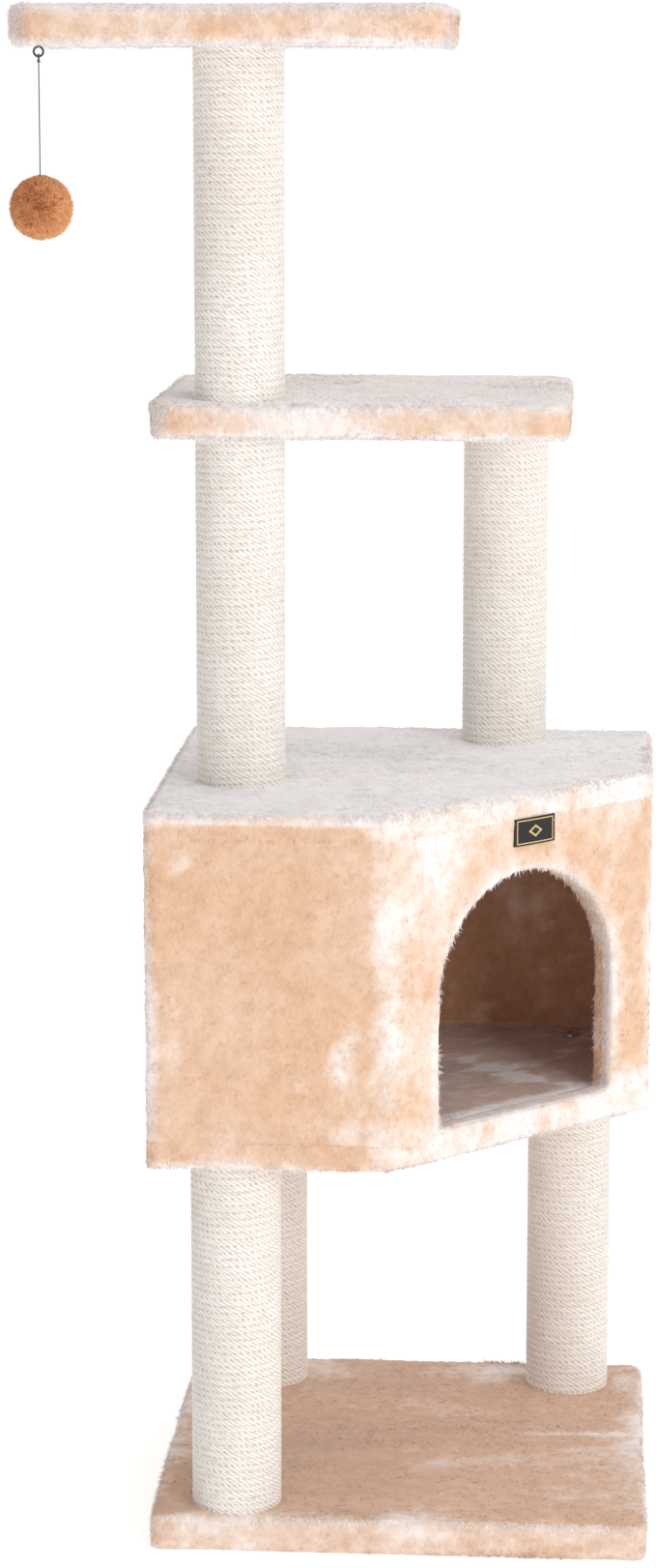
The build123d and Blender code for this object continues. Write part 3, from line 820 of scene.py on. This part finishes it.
def doorway(bottom, half, depth):
    """A closed arch-shaped bar through the cut wall, at the doorway."""
    middle, along, out = cut_wall_frame()
    turn = np.linspace(0, math.pi, 33)
    across = np.concatenate([[half], half * np.cos(turn), [-half]])
    height = np.concatenate([[bottom], SPRING + half * np.sin(turn), [bottom]])
    rings = [np.column_stack([middle + along * across[:, None] + out * reach, height])
             for reach in (30 * MM, -depth)]
    return closed_rings("doorway", np.concatenate(rings), len(across), smooth=False, flip=True)


def on_cut_wall(points, reach):
    """1 on the cut wall's outer face, falling away over reach metres behind it."""
    middle, _, out = cut_wall_frame()
    return near(np.minimum((points[:, :2] - middle) @ out, 0), reach)


def wall_brushed_sheen_and_shade(points, _normals):
    """Where the walls' pile lies over: by the doorway, on the sill and in two patches. The rounded corners
    are painted pale as painted sheen, and painted shade makes the crease under the roof and two lines
    beside the front corners less pale.
    """
    middle, along, _ = cut_wall_frame()
    plan = np.array(condo_plan())
    flat, height = points[:, :2], points[:, 2]
    across = (flat - middle) @ along
    on_cut = on_cut_wall(points, 12 * MM)
    door = near(np.hypot(across, np.maximum(height - SPRING, 0)) - DOOR_HALF, 17 * MM)
    left_part = 0.50 * soft_step((-across - 52 * MM) / (40 * MM)) + 0.62 * near(height - TOP_LINE, 30 * MM)
    low = 1.15 * near(np.maximum(height - SILL, 0), 18 * MM)
    pale = np.maximum(on_cut * np.maximum(door, left_part), on_cut_wall(points, 45 * MM) * low)
    # painted sheen on the rounded corners
    corner = [np.hypot(*(flat - at).T) for at in plan]
    for number, reach, share in ((1, 17 * MM, 0.85), (0, 9 * MM, 1.1), (2, 9 * MM, 0.8)):
        pale = np.maximum(pale, near(corner[number], reach) * share)
    front = near(flat[:, 1] - plan[0][1], 4 * MM)
    ragged = noises(points, 19, (0.9, 0.026), (0.5, 0.010))
    broken = 0.5 + 0.5 * soft_step(0.5 + smooth_noise(points, 0.012, 12))
    leaning = flat[:, 0] - STREAK_LEAN * (height - STREAK_FOOT)
    streak = np.hypot((leaning - STREAK_AT[0]) / STREAK_SIZE[0], (height - STREAK_AT[1]) / STREAK_SIZE[1])
    patch = np.hypot((flat[:, 0] - PATCH_AT[0]) / PATCH_SIZE[0], (height - PATCH_AT[1]) / PATCH_SIZE[1])
    pale = np.maximum(pale, front * near(streak + ragged, 1) * 1.5 * broken)
    pale = np.maximum(pale, front * near(patch, 1) * 0.8 * broken)
    pale += noises(points, 8, (0.20, 0.030), (0.13, 0.011))
    # painted shade along the crease under the roof, and two darker lines beside the front corners
    crease = near(height - CREASE, 5 * MM) * (1 - on_cut) + near(corner[1] - 21 * MM, 4 * MM) * front
    crease += 0.7 * near(corner[0] - 15 * MM, 4 * MM) * front
    return np.clip(pale - 0.45 * crease, -0.4, 1.2)


def room_side(points, _normals):
    """True for the walls' inner faces."""
    plan = np.array(condo_plan())
    deep = np.ones(len(points))
    for first, last in zip(plan, np.roll(plan, -1, axis=0)):
        way = (last - first) / np.linalg.norm(last - first)
        deep = np.minimum(deep, (points[:, :2] - first) @ np.array([-way[1], way[0]]))
    return (deep > 11 * MM) & (points[:, 2] > ends("condo_floor_lining")[1][2] + 4 * MM)


def slab_brushed(points, _normals):
    """The condo's floor cover is pale under the doorway and in patches at its lower rim."""
    bottom = ends("condo_floor_cover")[0][2]
    rim = near(points[:, 2] - bottom, 7 * MM) * soft_step(0.6 + smooth_noise(points, 0.02, 14))
    pale = np.maximum(1.1 * on_cut_wall(points, 14 * MM), rim)
    return pale + noises(points, 8, (0.20, 0.030), (0.13, 0.011))


def roof_brushed_and_sheen(points, normals):
    """The roof cover's sides are pale at their rounded top edge only, as painted sheen, and all over on the
    cut wall.
    """
    # painted sheen along the rounded top edge
    edge = soft_step((points[:, 2] - ROOF_EDGE) / (5 * MM))
    pale = np.maximum(edge, 0.9 * on_cut_wall(points, 14 * MM)) * (1 - soft_step((normals[:, 2] - 0.8) * 5))
    return pale + noises(points, 8, (0.16, 0.030), (0.12, 0.011))


FLOOR_SPOTS = (           # laid-over streaks on the room's floor, pale with painted sheen, in the same way
    ((0.065, 0.040), (0.085, 0.013), -0.75, 1.9),
    ((0.105, 0.0), (0.06, 0.010), -0.5, 1.5),
    ((0.02, -0.02), (0.05, 0.012), -0.3, 1.0))


def floor_brushed_and_sheen(points, _normals):
    """The room's floor: laid-over streaks, pale with painted sheen, and a pale strip by the sill."""
    middle, _, out = cut_wall_frame()
    x, y, z = points.T
    depth = -((points[:, :2] - middle) @ out)
    sill = 1.3 * near(np.maximum(depth - 24 * MM, 0), 10 * MM)
    turned = np.column_stack([x * 0.5 + y * 0.25, y * 0.9 - x * 0.9, z])
    streaks = noises(turned, 16, (0.9, 0.022), (0.7, 0.009))
    laid = sum(spot(points, *row) for row in FLOOR_SPOTS)
    uneven = 0.8 + 0.6 * smooth_noise(points, 0.012, 18)
    return np.maximum(np.clip(streaks - 0.35, -0.9, 1.2) + laid * uneven, sill)


TUCK = 4 * MM             # how far the walls' plush runs in behind the roof's and floor's
LAP = 0.4 * MM            # how far it lies under theirs
REACH_OVER = 2.5 * MM     # how far theirs run on over the walls' plush
DOOR_PILE = 1.5 * MM      # room for the pile round the doorway


def make_condo():
    """The walls, the roof's and the floor's covers, and the room's floor and ceiling."""
    plan = condo_plan()
    cover_low, cover_high = ends("condo_wall_cover")
    lining = ends("condo_floor_lining")
    wall = lining[0][0] - cover_low[0]
    form = prism("walls", rounded_outline(shrink(plan, FUR + LAP), 8 * MM), cover_low[2] - TUCK,
                 cover_high[2] + TUCK)
    cut_away(form, prism("room", shrink(plan, wall - 1 * MM), cover_low[2] - 0.01, cover_high[2] + 0.01))
    cut_away(form, doorway(lining[1][2] + DOOR_PILE, DOOR_HALF + DOOR_PILE, 60 * MM))
    seams = (cover_low[2], cover_high[2])
    # The walls' inner faces take room_plush, the copy with painted shade.
    plush_piece("condo_wall_plush", form, wall_plush, ["condo_wall_cover", "condo_wall_lining"], 36000, 61,
                3.4 * MM, 5.5 * MM, relax=6, brushed=wall_brushed_sheen_and_shade, inside=(room_side, room_plush),
                seams=seams)
    low, high = ends("condo_roof_cover")
    form = slab("roof", shrink(plan, FUR), 8 * MM, low[2] - REACH_OVER, high[2] - FUR, 0.6 * MM, 6 * MM)
    plush_piece("condo_roof_plush", form, roof_plush, ["condo_roof_cover"], 34000, 71,
                brushed=roof_brushed_and_sheen, seams=seams)
    low, high = ends("condo_floor_cover")
    form = slab("floor", shrink(plan, FUR), 8 * MM, low[2] + FUR, high[2] + REACH_OVER, 3.5 * MM, 0.6 * MM)
    plush_piece("condo_floor_plush", form, wall_plush, ["condo_floor_cover"], 30000, 81,
                brushed=slab_brushed, seams=seams)
    # The room's floor and ceiling linings take floor_plush and room_plush, the darker copies of the plush:
    # painted shade.
    for node, cloth, tufts, seed, brushed in (("condo_floor_lining", floor_plush, 22000, 91, floor_brushed_and_sheen),
                                              ("condo_ceiling_lining", room_plush, 12000, 95, None)):
        low, high = ends(node)
        form = slab("lining", shrink(plan, wall), 3 * MM, low[2], high[2], 1 * MM)
        plush_piece(node + "_plush", form, cloth, [node], tufts, seed, 2.6 * MM, 4 * MM, brushed=brushed)


make_condo()


# --- The toy ---
YARN_ENDS = 17000
CORE, REACH = 0.80, 0.955         # shares of the radius: the core, and the strands' usual reach
THIRDS = (0, 2.094, 4.189)        # thirds of a turn round a strand


def make_pompom():
    """A ball of cut yarn: a soft core under strands that fan out to uneven ends."""
    low, high = ends("toy_pompom")
    heart, radius = (low + high) / 2, (high[0] - low[0]) / 2
    rng = np.random.default_rng(7)
    bm = bmesh.new()
    bmesh.ops.create_icosphere(bm, subdivisions=5, radius=1.0)
    core = np.array([vert.co for vert in bm.verts])
    core_faces = np.array([[vert.index for vert in face.verts] for face in bm.faces])
    bm.free()
    dent = noises(core, 4, (0.5, 0.35), (1, 0.14))
    core_points = heart + core * (radius * (CORE + 0.035 * dent))[:, None]
    count = YARN_ENDS
    way = unit(rng.normal(size=(count, 3)))
    dent = noises(way, 4, (0.5, 0.35), (1, 0.14))
    lump = way @ unit(np.array([[0.7, -0.1, -0.6]]))[0]
    reach = radius * (REACH + 0.035 * dent + 0.035 * lump + rng.uniform(-0.07, 0.05, count))
    drift = noise_vectors(way, 0.30, 20) * 0.10 + rng.normal(size=(count, 3)) * 0.05
    side = unit(np.cross(way, rng.normal(size=(count, 3))))
    over = np.cross(way, side)
    rails = []
    for share, thick in ((0.72, 0.5 * MM), (1.0, 0.28 * MM)):
        middle = heart + unit(way + drift * share) * (reach * share)[:, None]
        for turn in THIRDS:
            rails.append(middle + (side * math.cos(turn) + over * math.sin(turn)) * thick)
    strands = np.stack(rails, axis=1).reshape(-1, 3)
    start = np.arange(count)[:, None] * 6 + len(core_points)
    quads = np.concatenate([start + np.array(face) for face in ((0, 1, 4, 3), (1, 2, 5, 4), (2, 0, 3, 5))])
    caps = np.concatenate([start + np.array(face) for face in ((2, 1, 0), (3, 4, 5))])
    shading = np.repeat(way, 6, axis=0)
    shading = np.concatenate([core, unit(shading + rng.normal(size=shading.shape) * 0.12)])
    triangles = np.concatenate([core_faces, caps])
    piece = new_mesh("pompom", np.concatenate([core_points, strands]), [quads, triangles], shading)
    # tip paints shade: dark on the core and the strands' inner parts, lighter at their ends, lightest where
    # they reach furthest as a painted highlight.
    level = np.repeat(0.5 + (reach / radius - REACH) * 6, 6) * np.tile((0.6, 0.6, 0.6, 1, 1, 1), count)
    point_numbers(piece.data, "tip", np.clip(np.concatenate([np.full(len(core_points), 0.1), level]), 0, 1))
    give(piece, fur_brown)
    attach(piece, "toy_ball")
    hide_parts("toy_pompom")


make_pompom()


# --- The tag ---
CLOTH, GOLD = 0, 1        # the tag's material slots


def make_tag():
    """A woven tag above the doorway: dark cloth with a gold border and a plain diamond."""
    cloth = plain_pattern("tag_cloth", (0.004, 0.004, 0.005), (0.014, 0.012, 0.013), 900, 0.7)
    gold = plain_pattern("tag_gold", (0.48, 0.33, 0.10), (0.72, 0.55, 0.24), 1400, 0.5)
    along, out = (np.array([*way, 0]) for way in cut_wall_frame()[1:])
    low, high = ends("label_tag")
    heart = (low + high) / 2
    half_wide = np.linalg.norm((high - low)[:2]) / 2 - 1.0 * MM
    half_tall = (high[2] - low[2]) / 2
    thick = 1.4 * MM
    points, sides, paint = [], [], []

    def plate(outline, back, front, colour):
        """Adds a bulging plate with this outline on the tag's face."""
        base = len(points)
        count = len(outline)
        for depth in (back, front):
            for x, z in outline:
                bulge = 0.8 * MM * (1 - (x / half_wide) ** 2)
                points.append(heart + along * x + out * (depth + bulge) + np.array([0, 0, z]))
        for k in range(count):
            ahead = (k + 1) % count
            sides.append([base + k, base + ahead, base + ahead + count, base + k + count])
            paint.append(colour)
        sides.append([base + k + count for k in range(count)])
        sides.append([base + k for k in range(count)][::-1])
        paint.extend([colour, colour])

    def bar(x0, x1, z0, z1, back, front, colour):
        """Adds an upright rectangle, from its corners."""
        plate([(x0, z0), (x1, z0), (x1, z1), (x0, z1)], back, front, colour)

    edge_x, edge_z = half_wide * 0.9, half_tall * 0.88      # the border's outer edge
    inner_x, inner_z = half_wide * 0.86, half_tall * 0.80   # and its inner one
    face, raised = thick / 2 - 0.1 * MM, thick / 2 + 0.15 * MM
    steps = np.linspace(-1, 1, 13)
    for left, right in zip(steps[:-1], steps[1:]):
        bar(left * half_wide, right * half_wide, -half_tall, half_tall, -thick / 2, thick / 2, CLOTH)
        bar(left * edge_x, right * edge_x, -edge_z, -inner_z, face, raised, GOLD)
        bar(left * edge_x, right * edge_x, inner_z, edge_z, face, raised, GOLD)
    bar(-edge_x, -inner_x, -edge_z, edge_z, face, raised, GOLD)
    bar(inner_x, edge_x, -edge_z, edge_z, face, raised, GOLD)
    for size, proud, colour in ((0.45, 0.2, GOLD), (0.28, 0.3, CLOTH)):
        reach = half_tall * size
        plate([(0, -reach), (reach * 1.5, 0), (0, reach), (-reach * 1.5, 0)], face,
              thick / 2 + proud * MM, colour)
    mesh = bpy.data.meshes.new("tag")
    mesh.from_pydata([tuple(p) for p in points], [], sides)
    mesh.polygons.foreach_set("material_index", paint)
    piece = placed("tag", mesh)
    piece.data.materials.append(cloth)
    piece.data.materials.append(gold)
    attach(piece, "root")
    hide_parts("label_tag")


make_tag()


# --- Floor and light ---
FLOOR_HALF = 14           # metres


def make_stage():
    """A wide pale floor, bright enough to run into the white behind it."""
    corners = [(x * FLOOR_HALF, y * FLOOR_HALF, 0) for x, y in ((-1, -1), (1, -1), (1, 1), (-1, 1))]
    floor = new_mesh("floor", np.array(corners, dtype=float), [np.array([[0, 1, 2, 3]])], smooth=False)
    paper = Shader("paper")
    grain = paper.noise(paper.places(), 40.0, 3.0)
    paper.paint(paper.ramp(grain, [(0.3, (0.86, 0.86, 0.86)), (0.7, (0.88, 0.88, 0.88))]))
    paper.set(Roughness=0.9, Emission_Strength=0.42, Emission_Color=WHITE)
    paper.material.cycles.emission_sampling = "NONE"
    give(floor, paper.material)


LIT = (0, 0, 0.6)         # the point that both lights look at


def area_light(name, at, size, power, colour):
    """A rectangular light that looks at the middle of the tree."""
    data = bpy.data.lights.new(name, "AREA")
    data.shape = "RECTANGLE"
    data.size, data.size_y = size
    data.energy = power
    data.color = colour
    light = placed(name, data)
    light.location = at
    light.rotation_euler = (Vector(LIT) - Vector(at)).to_track_quat("-Z", "Y").to_euler()


AMBIENT = 0.57            # the sky's mean brightness at the horizon
SKY_LEAN = (0.29, 0.0, 0.44)              # brighter from the right and from above
SEEN_SKY = 1.05           # what the camera sees: plain white


def make_light():
    """An even white sky that leans to the right, a key light from the right and a weak fill."""
    scene = bpy.context.scene
    scene.view_settings.view_transform = "Standard"
    world = bpy.data.worlds.new("studio")
    scene.world = world
    world.use_nodes = True
    nodes, links = world.node_tree.nodes, world.node_tree.links
    spot = nodes.new("ShaderNodeTexCoord")
    lean = nodes.new("ShaderNodeVectorMath")
    lean.operation = "DOT_PRODUCT"
    lean.inputs[1].default_value = SKY_LEAN
    links.new(spot.outputs["Generated"], lean.inputs[0])
    sky = nodes.new("ShaderNodeMath")
    sky.operation = "ADD"
    sky.inputs[1].default_value = AMBIENT
    links.new(lean.outputs["Value"], sky.inputs[0])
    seen = nodes.new("ShaderNodeLightPath")
    strength = nodes.new("ShaderNodeMapRange")
    strength.inputs["To Max"].default_value = SEEN_SKY
    links.new(sky.outputs[0], strength.inputs["To Min"])
    links.new(seen.outputs["Is Camera Ray"], strength.inputs["Value"])
    nodes["Background"].inputs["Color"].default_value = WHITE
    links.new(strength.outputs["Result"], nodes["Background"].inputs["Strength"])
    area_light("key", (2.15, -2.75, 1.2), (1.4, 2.0), 35, (1.0, 0.99, 0.98))
    area_light("fill", (-0.9, -3.4, 0.9), (1.6, 1.6), 5.0, (1.0, 0.99, 0.99))


make_stage()
make_light()
